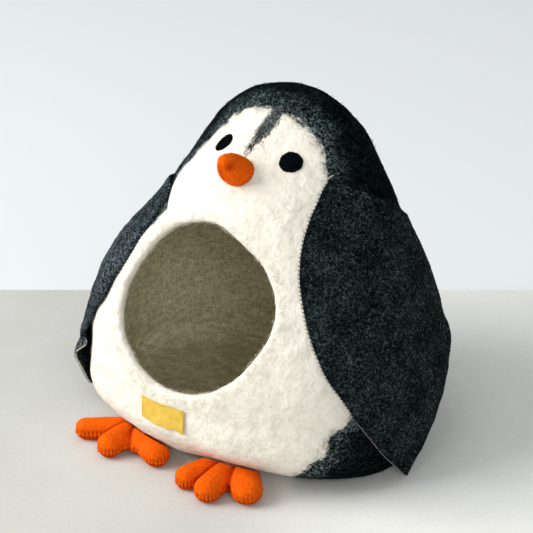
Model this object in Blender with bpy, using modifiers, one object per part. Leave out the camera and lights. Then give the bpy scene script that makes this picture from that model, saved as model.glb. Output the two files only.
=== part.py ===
"""Wet-felted cat cave in the shape of a sitting penguin.

The front faces -Y, up is +Z and the flat base lies on z = 0.  Left and right are the
penguin's own: its left is +X.  Lengths in the tables are millimetres.
"""
import math

import bmesh
import bpy
import numpy as np
from mathutils import Matrix, Vector

MM = 0.001
PART_NAME = "felt_cat_cave"

# ---- cave shell -----------------------------------------------------------------
HEIGHT = 386.0            # floor to the top of the head
CROWN = 125.0             # depth of the rounded crown
BASE_ROUND = 38.0         # height over which the side curls in to the flat base
BASE_SHARE = 0.74         # share of the width left in the flat base
SHELL_THICK = 7.5         # one layer of wet-felted wool
# height, half width, front reach, back reach, before the crown and base are rounded;
# then how square the front is across and in depth: 2 is an ellipse, less is more pointed
SECTIONS = (
    (0, 221, -134, 141, 2.2, 2.6), (19, 213, -150, 147, 2.2, 2.6),
    (46, 203, -171.5, 157, 2.2, 2.55), (85, 200, -174, 168, 2.2, 2.45),
    (139, 197.5, -167, 176, 2.2, 2.3), (193, 175.5, -142, 170, 2.2, 2.1),
    (247, 143, -102, 154, 2.1, 1.75), (301, 123.5, -69, 139, 1.9, 1.35),
    (347, 122.5, -33, 130, 1.5, 1.22), (386, 130, -6, 125, 2.0, 1.65),
)
SQUARE_BACK = 2.1
# the belly sags forward on the floor between the feet: x, half width, height, how far
SAG_X, SAG_WIDE, SAG_HIGH, SAG_FORWARD = -24.0, 46.0, 60.0, 19.0
# entrance: radii of its outline, seen from the front, at every 30 degrees from +X
ENTRANCE_X, ENTRANCE_Z = -1.0, 193.0
ENTRANCE_RADII = (98, 88, 78.5, 78, 80, 90, 104, 98, 90, 87, 88, 93)
HEART_Y = 20.0            # the rings of the shell are laid out round this inner point
SHELL_COLUMNS, SHELL_RINGS = 52, 24
RIM_ROUND = 3.1           # rounding of both edges of the entrance

# ---- wings ----------------------------------------------------------------------
WING_THICK = 3.0
WING_GAPS = {"wing_left": 1.8, "wing_right": 1.1}   # clear of the shell at the stitching
WING_ACROSS = 9
WING_HANG = 95.0          # below this height the wing hangs free of the shell
# height, front angle, rear angle, stand-off of front edge, middle and rear edge
WING_L = (
    (316, -37.5, -35, 0, 0, 0), (309, -40.5, -27.5, 0, 1, 1), (299, -43, -13.5, 0, 2, 3),
    (289, -45.5, 3, 0, 3, 5), (277, -47.5, 13, 0, 2, 4), (260, -49.5, 23, 0, 1, 1),
    (240, -50, 37, 0, 1, 1), (215, -48.5, 45, 0, 1, 2), (190, -46, 48, 0, 1, 4),
    (165, -42.5, 47, 0, 2, 7), (140, -38, 43, 0, 3, 12), (115, -31.5, 36, 1, 5, 14),
    (90, -26, 28, 3, 7, 13), (65, -20.5, 18, 4, 8, 12), (42, -15.5, 7, 6, 9, 11),
    (22, -10.5, -2, 8, 10, 11), (6, -6.5, -4, 11, 11, 11),
)
WING_R = (
    (274, -38.5, -35, 0, 0, 0), (269, -42, -22, 0, 0.5, 1), (263, -45, -8, 0, 1.5, 2),
    (255, -46.5, 6, 0, 3, 3), (244, -46, 19, 0, 6, 3), (228, -46, 30, 0, 9, 3),
    (205, -48, 38, 0, 11, 2), (182, -48.5, 42, 0, 11, 3), (160, -48.5, 42, 0, 9, 4),
    (142, -44.5, 39, 0, 8, 6), (127, -42, 35, 1, 8, 8), (116, -40, 31, 3, 8, 9),
    (109, -40, 28, 6, 7, 9), (102, -40, 25, 9, 7, 9), (94, -40.5, 21, 4, 6, 8),
    (84, -40.5, 16, 15, 8, 8), (77, -40, 11, 17, 10, 8), (64, -39.5, 4, 13, 11, 8),
    (50, -38, -4, 8, 10, 8), (36, -36, -13, 4, 8, 7), (22, -30, -19, 4, 6, 6),
    (8, -22, -20, 4, 4, 4),
)

# ---- beak -----------------------------------------------------------------------
BEAK_BASE = (2.5, 316.0)          # x and height of its root on the face
BEAK_DIRECTION = (0.0, -0.79, 0.61)
BEAK_LENGTH, BEAK_RADIUS = 45.0, 16.5
BEAK_GAP = 0.5

# ---- eyes and label -------------------------------------------------------------
EYE_RADIUS, EYE_THICK, EYE_GAP = 12.5, 2.0, 0.5
EYE_PLACES = {"eye_right": (-43.0, 331.0), "eye_left": (46.5, 328.5)}
LABEL_X, LABEL_Z = (-40.0, 19.0), (61.0, 87.5)
LABEL_THICK, LABEL_GAP, LABEL_LIFT = 1.2, 0.6, 1.6

# ---- feet -----------------------------------------------------------------------
FOOT_HEIGHT = 27.0
FOOT_GAP = 0.9            # clear of the shell
SOLE_SINK = 1.6           # how far the stuffed toes are pressed flat on the floor
PAD_AXES = (36.0, 25.0, 12.0)     # half sizes of the pad the toes join
TOE_BACK = 0.25           # a toe is centred this share of the way to the heel
# heel x, y, then the x, y and radius of the end of each toe
FEET = {
    "foot_right": ((-76.0, -146.0), ((-121, -157, 20), (-76, -178, 20.5), (-30, -169, 18.5))),
    "foot_left": ((60.0, -155.0), ((29, -179, 18.5), (62, -187, 19), (94, -165, 20))),
}

MATERIALS = {
    "shell": ("felt_cream", (0.80, 0.77, 0.68)),
    "wing_left": ("felt_charcoal_left", (0.020, 0.028, 0.032)),
    "wing_right": ("felt_charcoal_right", (0.020, 0.028, 0.032)),
    "beak": ("felt_orange_beak", (0.80, 0.13, 0.015)),
    "foot_left": ("felt_orange_foot_left", (0.80, 0.13, 0.015)),
    "foot_right": ("felt_orange_foot_right", (0.80, 0.13, 0.015)),
    "eye_left": ("felt_black_left", (0.006, 0.008, 0.009)),
    "eye_right": ("felt_black_right", (0.006, 0.008, 0.009)),
    "label": ("cloth_yellow", (0.85, 0.62, 0.12)),
}


# ---- the shape of the skin ------------------------------------------------------
def smooth(rows, column, x):
    """Value of one column of a table at x, on a smooth curve through its rows."""
    xs = np.array([row[0] for row in rows], float)
    ys = np.array([row[column] for row in rows], float)
    if xs[0] > xs[-1]:
        xs, ys = xs[::-1], ys[::-1]
    slope = np.gradient(ys, xs)
    i = np.clip(np.searchsorted(xs, x) - 1, 0, len(xs) - 2)
    step = xs[i + 1] - xs[i]
    t = np.clip((x - xs[i]) / step, 0.0, 1.0)
    return (ys[i] * (1 + 2 * t) * (1 - t) ** 2 + ys[i + 1] * t * t * (3 - 2 * t)
            + step * (slope[i] * t * (1 - t) ** 2 - slope[i + 1] * t * t * (1 - t)))


def section(z):
    """Half width, middle and half depth of the skin at height z."""
    z = np.clip(z, 0.0, HEIGHT)
    up = np.clip((z - HEIGHT + CROWN) / CROWN, 0.0, 1.0)
    down = np.clip((BASE_ROUND - z) / BASE_ROUND, 0.0, 1.0)
    share = np.sqrt(1 - up ** 2) * (BASE_SHARE + (1 - BASE_SHARE) * np.sqrt(1 - down ** 2))
    front, back = smooth(SECTIONS, 2, z), smooth(SECTIONS, 3, z)
    return smooth(SECTIONS, 1, z) * share, (front + back) / 2, (back - front) / 2 * share


def squareness(z, front):
    """How square the section is across and in depth, in front or behind its middle."""
    return (np.where(front, smooth(SECTIONS, 4, z), SQUARE_BACK),
            np.where(front, smooth(SECTIONS, 5, z), SQUARE_BACK))


def sag(x, z):
    """How far the belly is pushed forward at x and height z."""
    low = np.clip(1 - z / SAG_HIGH, 0.0, 1.0)
    return SAG_FORWARD * low ** 2 * np.exp(-((x - SAG_X) / SAG_WIDE) ** 2)


def inside(p, grow=0.0):
    """True for the points inside the skin, grown outward by a few millimetres."""
    half, middle, deep = section(p[..., 2])
    front = p[..., 1] < middle
    across, depth = squareness(p[..., 2], front)
    deep = deep + np.where(front, sag(p[..., 0], p[..., 2]), 0.0)
    side = np.abs(p[..., 0]) / (half + grow + 1e-6)
    along = np.abs(p[..., 1] - middle) / (deep + grow + 1e-6)
    level = side ** across + along ** depth
    return (level < 1) & (p[..., 2] > -grow) & (p[..., 2] < HEIGHT + grow)


def reach(start, way, far=420.0, grow=0.0):
    """Where lines from inner points, along unit ways, leave the skin."""
    near = np.zeros(np.broadcast(start[..., 0], way[..., 0]).shape)
    away = np.full(near.shape, far)
    for _ in range(40):
        half = (near + away) / 2
        within = inside(start + half[..., None] * way, grow)
        near, away = np.where(within, half, near), np.where(within, away, half)
    return start + near[..., None] * way


def front_point(x, z):
    """The point of the front of the skin at x and height z."""
    return reach(np.array([x, HEART_Y, z], float), np.array([0.0, -1.0, 0.0]))


def normal_at(p, size=2.0):
    """Outward normal of the skin near p, from points a little way off."""
    middle = np.array([0.0, HEART_Y, 150.0])
    out = (p - middle) / np.linalg.norm(p - middle)
    a = np.cross(out, (0.0, 0.0, 1.0))
    a /= np.linalg.norm(a)
    b = np.cross(a, out)
    ring = [reach(middle, unit(p + size * s - middle)) for s in (a, b, -a, -b)]
    n = unit(np.cross(ring[0] - ring[2], ring[1] - ring[3]))
    return n if n @ out > 0 else -n


def unit(v):
    return v / np.linalg.norm(v, axis=-1, keepdims=True)


def entrance_radius(angle):
    """Radius of the entrance outline at an angle, a smooth closed curve."""
    n = len(ENTRANCE_RADII)
    rows = [((k - n) * 2 * math.pi / n, ENTRANCE_RADII[k % n]) for k in range(3 * n)]
    return smooth(rows, 1, angle)


# ---- Blender helpers ------------------------------------------------------------
def collection(name, hidden=False):
    group = bpy.data.collections.new(name)
    bpy.context.scene.collection.children.link(group)
    group.hide_render = hidden
    return group


def make_object(name, bm, group):
    mesh = bpy.data.meshes.new(name)
    bm.to_mesh(mesh)
    bm.free()
    mesh.polygons.foreach_set("use_smooth", [True] * len(mesh.polygons))
    obj = bpy.data.objects.new(name, mesh)
    group.objects.link(obj)
    if name in MATERIALS:
        slot, colour = MATERIALS[name]
        material = bpy.data.materials.new(slot)
        material.use_nodes = True
        shader = material.node_tree.nodes["Principled BSDF"]
        shader.inputs["Base Color"].default_value = (*colour, 1.0)
        shader.inputs["Roughness"].default_value = 0.95
        mesh.materials.append(material)
    return obj


def wrap(name, across, along, place, group, outward_from=None):
    """A grid, across x along faces, laid on the points place(s, t) for s, t from 0 to 1."""
    bm = bmesh.new()
    bmesh.ops.create_grid(bm, x_segments=across, y_segments=along, size=0.5)
    grid = np.array([v.co for v in bm.verts]) + 0.5
    for vert, p in zip(bm.verts, place(grid[:, 0], grid[:, 1])):
        vert.co = Vector(p) * MM
    bmesh.ops.remove_doubles(bm, verts=bm.verts, dist=0.00002)
    bmesh.ops.recalc_face_normals(bm, faces=bm.faces)
    if outward_from is not None:
        bm.faces.ensure_lookup_table()
        face = bm.faces[len(bm.faces) // 2]
        if face.normal.dot(face.calc_center_median() - Vector(outward_from) * MM) < 0:
            bmesh.ops.reverse_faces(bm, faces=bm.faces)
    return make_object(name, bm, group)


def thicken(obj, thick, offset):
    solid = obj.modifiers.new("thickness", "SOLIDIFY")
    solid.thickness = thick * MM
    solid.offset = offset
    solid.use_even_offset = True
    return solid


def boolean(obj, tool, operation):
    cut = obj.modifiers.new(operation.lower(), "BOOLEAN")
    cut.object = tool
    cut.operation = operation
    cut.solver = "EXACT"


# ---- the pieces -----------------------------------------------------------------
def entrance_polar(angle):
    """Angle off the Y axis of the entrance outline, seen from the heart."""
    radius = entrance_radius(angle)
    x, z = ENTRANCE_X + radius * np.cos(angle), ENTRANCE_Z + radius * np.sin(angle)
    start = np.stack([x, np.full_like(x, HEART_Y), z], -1)
    edge = reach(start, np.broadcast_to([0.0, -1.0, 0.0], start.shape))
    return np.arctan2(radius, HEART_Y - edge[:, 1])


def skin_points(s, t, grow=0.0):
    """Points on the skin: s goes round the Y axis, t from the entrance to the back.
    Below t = 0 the points close the entrance at its middle."""
    angle = 2 * math.pi * s
    polar = entrance_polar(angle)
    polar = np.where(t < -1e-6, 0.0, polar + t * (math.pi - polar))
    way = np.stack([np.sin(polar) * np.cos(angle), -np.cos(polar),
                    np.sin(polar) * np.sin(angle)], -1)
    return reach(np.array([ENTRANCE_X, HEART_Y, ENTRANCE_Z]), way, grow=grow)


def build_shell(group):
    obj = wrap("shell", SHELL_COLUMNS, SHELL_RINGS, skin_points, group)
    thicken(obj, SHELL_THICK, -1.0)
    rim = obj.modifiers.new("rim", "BEVEL")
    rim.width = RIM_ROUND * MM
    rim.segments = 3
    rim.limit_method = "ANGLE"
    rim.angle_limit = math.radians(55)
    return obj


def wing_points(rows, gap, mirror):
    """Points of the inner face of a wing: s from its front edge to its rear, t downward."""
    def place(s, t):
        row = t * (len(rows) - 1)
        z, front, rear, *stand = [np.interp(row, range(len(rows)), [r[k] for r in rows])
                                  for k in range(6)]
        angle = np.radians(front + s * (rear - front))
        off = (gap + stand[0] * (1 - s) * (1 - 2 * s) + stand[1] * 4 * s * (1 - s)
               + stand[2] * s * (2 * s - 1))
        half, middle, deep = section(np.maximum(z, WING_HANG))
        across, depth = squareness(np.maximum(z, WING_HANG), angle < 0)
        x = (half + off) * np.abs(np.cos(angle)) ** (2 / across)
        y = middle + (deep + off) * np.sign(angle) * np.abs(np.sin(angle)) ** (2 / depth)
        return np.stack([-x if mirror else x, y, z], -1)

    return place


def build_wing(name, rows, mirror, group):
    obj = wrap(name, WING_ACROSS, len(rows) - 1, wing_points(rows, WING_GAPS[name], mirror),
               group, outward_from=(0.0, HEART_Y, 100.0))
    thicken(obj, WING_THICK, 1.0)
    return obj


def build_disc(name, group):
    """An eye: a round of felt laid on the face."""
    x, z = EYE_PLACES[name]
    centre = front_point(x, z)
    out = normal_at(centre)
    a = unit(np.cross((0.0, 0.0, 1.0), out))
    b = np.cross(out, a)

    def place(s, t):
        angle = 2 * math.pi * s
        flat = centre + EYE_RADIUS * t[:, None] * (np.cos(angle)[:, None] * a
                                                   + np.sin(angle)[:, None] * b)
        lifted = reach(flat - 30 * out, np.broadcast_to(out, flat.shape), far=60.0)
        return lifted + EYE_GAP * out

    obj = wrap(name, 20, 2, place, group, outward_from=(0.0, HEART_Y, 150.0))
    thicken(obj, EYE_THICK, 1.0)
    return obj


def build_label(group):
    def place(s, t):
        x = LABEL_X[0] + s * (LABEL_X[1] - LABEL_X[0])
        z = LABEL_Z[0] + t * (LABEL_Z[1] - LABEL_Z[0])
        start = np.stack([x, np.full_like(x, HEART_Y), z], -1)
        skin = reach(start, np.broadcast_to([0.0, -1.0, 0.0], start.shape))
        lift = LABEL_GAP + LABEL_LIFT * s * (1 - t)
        return skin - lift[:, None] * np.array([0.0, 1.0, 0.0])

    obj = wrap("label", 10, 4, place, group, outward_from=(0.0, HEART_Y, 75.0))
    thicken(obj, LABEL_THICK, 1.0)
    return obj


def build_beak(group):
    """A stuffed cone: rings from the middle of its root, on the face, to its round tip."""
    root = front_point(*BEAK_BASE)
    out = unit(np.array(BEAK_DIRECTION))
    a = np.array([1.0, 0.0, 0.0])
    b = np.cross(out, a)
    # share of the radius and of the length, from the root to the tip
    profile = ((0, 0.0, 0.0), (1, 0.55, 0.0), (2, 0.98, 0.0), (3, 1.0, 0.12),
               (4, 0.88, 0.38), (5, 0.70, 0.66), (6, 0.48, 0.88), (7, 0.25, 0.975),
               (8, 0.0, 1.0))
    last = len(profile) - 1

    def place(s, t):
        angle = 2 * math.pi * s
        row = t * last
        radius = BEAK_RADIUS * np.interp(row, range(last + 1), [p[1] for p in profile])
        length = BEAK_LENGTH * np.interp(row, range(last + 1), [p[2] for p in profile])
        ring = radius[:, None] * (np.cos(angle)[:, None] * a + np.sin(angle)[:, None] * b)
        low = reach(root + ring - 30 * out, np.broadcast_to(out, ring.shape), far=75.0)
        low = low + BEAK_GAP * out
        # the rings leave the curved face gradually and end square to the beak
        level = root + ring + length[:, None] * out
        share = np.clip((row - 2) / 2.0, 0.0, 1.0)[:, None]
        return np.where(row[:, None] < 2.5, low, low + (level - low) * share
                        + (1 - share) * length[:, None] * out)

    return wrap("beak", 18, last, place, group, outward_from=root + 15 * out)


def ellipsoid(name, centre, axes, turn, group):
    bm = bmesh.new()
    bmesh.ops.create_uvsphere(bm, u_segments=16, v_segments=9, radius=1.0)
    bmesh.ops.scale(bm, vec=Vector(axes) * MM, verts=bm.verts)
    bmesh.ops.rotate(bm, cent=(0, 0, 0), matrix=turn, verts=bm.verts)
    bmesh.ops.translate(bm, vec=Vector(centre) * MM, verts=bm.verts)
    return make_object(name, bm, group)


def build_foot(name, block, group, cutters):
    """A stuffed foot: three toes and a heel pad in one, pressed on the floor and the shell."""
    (heel_x, heel_y), toes = FEET[name]
    high = (FOOT_HEIGHT + SOLE_SINK) / 2
    flat = Matrix.Identity(3)
    foot = ellipsoid(name, (heel_x, heel_y, PAD_AXES[2] - SOLE_SINK), PAD_AXES, flat, group)
    for k, (x, y, radius) in enumerate(toes):
        back = TOE_BACK * Vector((heel_x - x, heel_y - y, 0.0))
        turn = Matrix.Rotation(math.atan2(y - heel_y, x - heel_x), 3, "Z")
        centre = Vector((x, y, high - SOLE_SINK)) + back
        axes = (back.length + radius, radius, high)
        toe = ellipsoid(f"{name}_toe_{k + 1}", centre, axes, turn, cutters)
        toe.display_type = "WIRE"
        boolean(foot, toe, "UNION")
    joined = bpy.data.meshes.new_from_object(
        foot.evaluated_get(bpy.context.evaluated_depsgraph_get()))
    foot.modifiers.clear()
    foot.data = joined
    for vert in joined.vertices:
        vert.co.z = max(vert.co.z, 0.0)
    boolean(foot, block, "DIFFERENCE")
    return foot


def main():
    for old in list(bpy.data.objects):
        bpy.data.objects.remove(old, do_unlink=True)
    parts = collection(PART_NAME)
    cutters = collection(PART_NAME + "_cutters", hidden=True)

    build_shell(parts)
    build_wing("wing_left", WING_L, False, parts)
    build_wing("wing_right", WING_R, True, parts)
    for name in EYE_PLACES:
        build_disc(name, parts)
    build_label(parts)
    build_beak(parts)

    rings = SHELL_RINGS + 1
    block = wrap("shell_block", SHELL_COLUMNS, rings,
                 lambda s, t: skin_points(s, (t * rings - 1) / SHELL_RINGS, FOOT_GAP), cutters)
    block.display_type = "WIRE"
    for name in FEET:
        build_foot(name, block, parts, cutters)
    for tool in cutters.objects:
        tool.hide_render = True


main()
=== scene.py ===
"""Looks of a wet-felted cat cave in the shape of a sitting penguin.

The front faces -Y and up is +Z.  Left and right are the penguin's own: its left is +X.
Tables and the functions on them are in millimetres; meshes are in metres.
"""

import math

import bmesh
import bpy
import numpy as np
from mathutils import Matrix, Vector, noise


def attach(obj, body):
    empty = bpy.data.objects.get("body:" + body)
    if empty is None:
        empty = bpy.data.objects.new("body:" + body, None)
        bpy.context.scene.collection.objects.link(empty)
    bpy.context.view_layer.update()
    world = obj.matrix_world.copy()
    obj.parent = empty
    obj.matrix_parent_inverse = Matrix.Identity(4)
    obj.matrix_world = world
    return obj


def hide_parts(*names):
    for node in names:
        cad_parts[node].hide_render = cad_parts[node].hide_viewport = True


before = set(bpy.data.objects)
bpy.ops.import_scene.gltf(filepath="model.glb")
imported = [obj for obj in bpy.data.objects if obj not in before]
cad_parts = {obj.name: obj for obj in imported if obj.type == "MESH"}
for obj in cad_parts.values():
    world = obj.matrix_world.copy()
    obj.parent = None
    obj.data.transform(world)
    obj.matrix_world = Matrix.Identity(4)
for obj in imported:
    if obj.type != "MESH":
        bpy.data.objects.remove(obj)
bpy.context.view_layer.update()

MM = 0.001
TURN = 2 * math.pi
random = np.random.default_rng(11)

# ---- body of the cave ----
HEIGHT = 386.0  # floor to the top of the head
CROWN = 125.0  # depth of the rounded crown
BASE_ROUND = 38.0  # height over which the side curls in to the flat base
BASE_SHARE = 0.74  # share of the width left in the flat base
SHELL_THICK = 7.5  # one layer of wet-felted wool
RIM_SWELL = 3.5  # extra thickness of the soft, rounded rim of the entrance
# height, half width, front reach, back reach, before the crown and base are rounded;
# then how square the front is across and in depth: 2 is an ellipse, less is more pointed
SECTIONS = (
    (0, 221, -134, 141, 2.2, 2.6), (19, 213, -150, 147, 2.2, 2.6),
    (46, 203, -171.5, 157, 2.2, 2.55), (85, 200, -174, 168, 2.2, 2.45),
    (139, 197.5, -167, 176, 2.2, 2.3), (193, 175.5, -142, 170, 2.2, 2.1),
    (247, 143, -102, 154, 2.1, 1.75), (301, 123.5, -69, 139, 1.9, 1.35),
    (347, 122.5, -33, 130, 1.5, 1.22), (386, 130, -6, 125, 2.0, 1.65),
)
SQUARE_BACK = 2.1  # both ways, behind the middle
# where and how far the belly sags forward on the floor between the feet
SAG_X, SAG_WIDE, SAG_HIGH, SAG_FORWARD = -24.0, 46.0, 60.0, 19.0
ENTRANCE_X, ENTRANCE_Z = -1.0, 193.0
# radius of the entrance every 30 degrees, from +X upward
ENTRANCE_RADII = (98, 84.5, 75.5, 79.5, 82.5, 92.5, 104, 98, 90, 87, 88, 93)
HEART_Y = 20.0
HEART = np.array([0.0, HEART_Y, 150.0])  # a point in the middle of the body
ENTRANCE_HEART = np.array([ENTRANCE_X, HEART_Y, ENTRANCE_Z])  # one behind the entrance
HEART_REACH = 170.0  # usual distance from there to the skin
AHEAD = np.array([0.0, -1.0, 0.0])
SHELL_COLUMNS, SHELL_RINGS, RIM_STEPS = 300, 200, 7
SHELL_INNER = 3  # every third ring of the outside has one on the inside

# edge of the cream wool, seen from ENTRANCE_HEART: angle round the front, angle off it
CREAM_EDGE = (
    (-180, 58), (-165, 60), (-153, 65), (-138, 66), (-130, 66), (-122, 74), (-110, 84),
    (-75, 84), (-64, 72), (-59, 62), (-55, 56.5), (-51.8, 54.9), (-47.9, 54.9),
    (-43.9, 54.3), (-40.6, 55.8), (-37.8, 57.2), (-35.3, 55.9), (-32.8, 57.3), (-30.6, 60),
    (-28, 60.8), (-20, 64), (0, 62), (25, 64), (40, 72), (48, 78), (53.6, 81.1),
    (56.1, 82.7), (59.9, 84.2), (62.2, 86.3), (65, 88.2), (70, 88.7), (77, 89.6),
    (83.5, 89.4), (88, 88.6), (92, 89.7), (97.4, 89.6), (103.4, 89.7), (107.9, 89.3),
    (113.7, 87.3), (117.9, 84.8), (121.7, 81.8), (126.6, 78.0), (133.3, 74.0),
    (139.7, 70.5), (141, 65), (142.2, 54), (148.3, 51.5), (154.3, 50.7), (160, 51.5),
    (168, 56),
)
# forehead stripe: height, x of its middle, half width
STRIPE = ((327, -3.2, 1.0), (332, -2.3, 5.0), (338, -1.0, 7.4), (349, 1.3, 8.8),
          (357, 3.9, 9.3), (366, 5.6, 8.2), (380, 8.0, 9.5))

# ---- wings ----
WING_THICK = 3.0
CORE_BELOW = 150.0  # below this height the pale core of the felt shows in the cut edge
WING_HANG = 95.0  # below this height the wing hangs free of the body
WING_GAPS = {"wing_left": 1.8, "wing_right": 1.1}  # from the even skin to the sewn edge
# height, plan angle of the front and rear edge, stand-off of front edge, middle, rear edge
WINGS = {
    "wing_left": (
        (316, -37.5, -35, 0, 0, 0), (309, -40.5, -27.5, 0, 1, 1), (299, -43, -13.5, 0, 2, 3),
        (289, -45.5, 3, 0, 3, 5), (277, -47.5, 13, 0, 2, 4), (260, -49.5, 23, 0, 1, 1),
        (240, -50, 37, 0, 1, 1), (215, -48.5, 45, 0, 1, 1.5), (190, -46, 48, 0, 1, 2),
        (165, -42.5, 47, 0, 2, 1.5), (140, -38, 43, 0, 3, 4), (125, -34.1, 39, 0.5, 4, 9),
        (115, -31.5, 36, 1, 5, 14.5), (90, -26, 28, 3, 7, 14.5), (65, -20.5, 18, 4, 8, 12),
        (42, -15.5, 8.3, 6, 9, 11), (22, -10.5, -0.7, 8, 10, 11), (3, -6.1, -5.9, 11, 11, 11),
    ),
    "wing_right": (
        (274, -38.5, -35, 0, 0, 0), (269, -42, -22, 0, 0.5, 1), (263, -45, -8, 0, 1.5, 2),
        (255, -46.5, 6, 0, 3, 3), (244, -46, 19, 0, 6, 3), (228, -46, 30, 0, 9, 3),
        (205, -48, 38, 0, 11, 2), (182, -48.5, 42, 0, 11, 3), (160, -48.5, 42, 0, 9, 4),
        (142, -44.5, 39, 0, 8, 6), (127, -42, 35, 1, 8, 8), (116, -40, 31, 3, 8, 9),
        (109, -40, 28, 6, 7, 9), (102, -40, 25, 9, 7, 9), (94, -40.5, 21, 4, 6, 8),
        (84, -40.5, 16, 15, 8, 8), (77, -40, 11, 17, 10, 8), (64, -39.5, 4, 13, 11, 8),
        (50, -38, -4, 8, 10, 8), (36, -36, -13, 4, 8, 7), (22, -30, -19, 4, 6, 6),
        (8, -22, -20, 4, 4, 4),
    ),
}
# a place well inside each wing: plan angle, height
WING_MIDDLES = {"wing_left": (-4.0, 175.0), "wing_right": (-8.0, 150.0)}
WING_GREY_SHARE_AND_PAINTED_LIGHT = {"wing_left": 0.9, "wing_right": 2.1}  # how much of the wool is grey; the right wing's larger share is painted light, where the key light falls on that side
WING_COLUMNS, WING_RINGS = 360, 44
STITCH = 4.6  # one overcast stitch along the front edge of a wing
# a stitch from the face of the wing over its edge: how far in, how far off the face
STITCH_PATH = ((4.2, -0.6), (3.4, 0.25), (1.7, 0.1), (0.3, -0.6), (-0.6, -2.4), (-1.4, -4.6))
# cream thread ends at the top of the left wing, from and to: plan angle, height
APEX_STITCHES = (((-38.3, 315.5), (-34.8, 318.0)), ((-40.8, 309.5), (-39.3, 314.5)),
                 ((-42.6, 303.0), (-41.6, 307.5)))

# ---- beak, eyes, label, feet ----
BEAK_BASE = (1.0, 317.0)  # x and height
BEAK_DIRECTION = (0.06, -0.79, 0.61)
BEAK_LENGTH, BEAK_RADIUS = 41.0, 16.6
# step, share of the radius, share of the length
BEAK_PROFILE = ((0, 0.985, 0.0), (1, 1.0, 0.10), (2, 0.97, 0.22), (3, 0.88, 0.40),
                (4, 0.76, 0.58), (5, 0.60, 0.75), (6, 0.43, 0.89), (7, 0.23, 0.975), (8, 0.0, 1.0))
BEAK_LEAN = 1.6  # of the tip, up and to its right
# where the base of the beak bulges or is flattened: angle, width, share of the radius
BEAK_BULGES = ((215, 0.5, 0.12), (322, 0.5, 0.07), (276, 0.35, -0.06), (75, 0.6, 0.06))
EYE_THICK = 2.0
EYE_SIZES = {"eye_right": (10.8, 12.2), "eye_left": (13.2, 13.0)}  # half width and height
EYE_PLACES = {"eye_right": (-43.0, 331.0), "eye_left": (46.5, 328.5)}  # x and height
LABEL_X, LABEL_Z = (-40.0, 19.0), (61.0, 87.5)
LABEL_THICK, LABEL_LIFT = 1.0, 0.7  # its thickness and its distance from the even skin
# tacking stitches as shares of the label's width and height; the last one is loose
TACKS = ((0.04, 0.93), (0.52, 0.94), (0.96, 0.9), (0.05, 0.08), (0.58, 0.1), (0.97, 0.12))
FOOT_HEIGHT, SOLE_SINK = 27.0, 1.6
TOE_FULL = 13.2  # half width of a toe as high as the foot; narrower ones are lower
# middle and half sizes of the pad; then each toe's root, tip and half width
FEET = {
    "foot_right": ((-66, -149, 34, 24, 12), (
        (-92, -143, -139.5, -176.5, 11.8), (-84, -146, -83, -196.5, 14.5),
        (-66, -147, -15, -173, 15.5))),
    "foot_left": ((58, -156, 32, 21, 12), (
        (38, -147, 23, -195.5, 12.6), (56, -150, 61.5, -203.5, 15.3),
        (76, -144, 107, -179, 17.5))),
}
LIP = {"foot_right": 1.1, "foot_left": 0.6}  # how far the sewn edge stands out
SEAM_HEIGHT = 8.5  # of the sewn edge of a foot
FOOT_STITCH = 4.7  # one blanket stitch along that edge
FOOT_VOXEL = 1.25  # fineness of the foot's mesh
FOOT_CLEAR = 3.2  # gap between its back and the even skin of the body

# how many loose fibres lie on each piece
CAVE_FIBRES, RIM_FIBRES, WING_FIBRES = 8000, 2400, 7000
EYE_FIBRES, BEAK_FIBRES, FOOT_FIBRES = 600, 1100, 1800


# ---- the shape of the skin ----
def smooth(rows, column, x):
    """Value of one column of a table at x, on a smooth curve through its rows."""
    xs = np.array([row[0] for row in rows], float)
    ys = np.array([row[column] for row in rows], float)
    if xs[0] > xs[-1]:
        xs, ys = xs[::-1], ys[::-1]
    slope = np.gradient(ys, xs)
    i = np.clip(np.searchsorted(xs, x) - 1, 0, len(xs) - 2)
    step = xs[i + 1] - xs[i]
    t = np.clip((x - xs[i]) / step, 0.0, 1.0)
    return (ys[i] * (1 + 2 * t) * (1 - t) ** 2 + ys[i + 1] * t * t * (3 - 2 * t)
            + step * (slope[i] * t * (1 - t) ** 2 - slope[i + 1] * t * t * (1 - t)))


def section(z):
    """Half width, middle and half depth of the skin at height z."""
    z = np.clip(z, 0.0, HEIGHT)
    up = np.clip((z - HEIGHT + CROWN) / CROWN, 0.0, 1.0)
    down = np.clip((BASE_ROUND - z) / BASE_ROUND, 0.0, 1.0)
    share = np.sqrt(1 - up ** 2) * (BASE_SHARE + (1 - BASE_SHARE) * np.sqrt(1 - down ** 2))
    front, back = smooth(SECTIONS, 2, z), smooth(SECTIONS, 3, z)
    return smooth(SECTIONS, 1, z) * share, (front + back) / 2, (back - front) / 2 * share


def squareness(z, front):
    """How square the section is across and in depth, in front or behind its middle."""
    return (np.where(front, smooth(SECTIONS, 4, z), SQUARE_BACK),
            np.where(front, smooth(SECTIONS, 5, z), SQUARE_BACK))


def sag(x, z):
    """How far the belly is pushed forward at x and height z."""
    low = np.clip(1 - z / SAG_HIGH, 0.0, 1.0)
    return SAG_FORWARD * low ** 2 * np.exp(-((x - SAG_X) / SAG_WIDE) ** 2)


def inside(p, grow=0.0):
    """True for the points inside the skin, grown outward by a few millimetres."""
    half, middle, deep = section(p[..., 2])
    front = p[..., 1] < middle
    across, depth = squareness(p[..., 2], front)
    deep = deep + np.where(front, sag(p[..., 0], p[..., 2]), 0.0)
    side = np.abs(p[..., 0]) / (half + grow + 1e-6)
    along = np.abs(p[..., 1] - middle) / (deep + grow + 1e-6)
    level = side ** across + along ** depth
    return (level < 1) & (p[..., 2] > -grow) & (p[..., 2] < HEIGHT + grow)


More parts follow.
